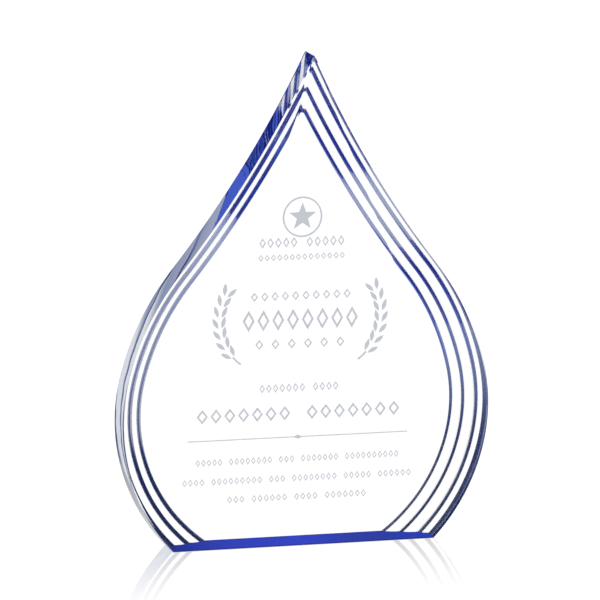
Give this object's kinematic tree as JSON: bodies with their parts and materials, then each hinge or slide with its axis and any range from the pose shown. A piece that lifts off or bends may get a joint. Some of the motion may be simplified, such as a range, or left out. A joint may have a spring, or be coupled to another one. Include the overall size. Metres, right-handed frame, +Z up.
{
  "type": "crystal award",
  "caption": "Free-standing clear teardrop award with a flat front, a stepped, fluted back edge and a blue layer under its flat foot.",
  "frame": {"origin": "middle of the underside, halfway between the flat front face and the flat back", "axes": "+Z up to the tip, +X to the right as the front is read, -Y out of the flat front face, +Y out of the fluted back"},
  "size_m": [0.1658, 0.0254, 0.2155],
  "materials": {
    "clear_crystal": "polished, optically clear, index 1.49",
    "blue_layer": "royal blue, smooth, seen through the clear body"
  },
  "bodies": {
    "root": {"crystal_body": "clear_crystal", "blue_base_layer": "blue_layer"}
  },
  "joints": []
}
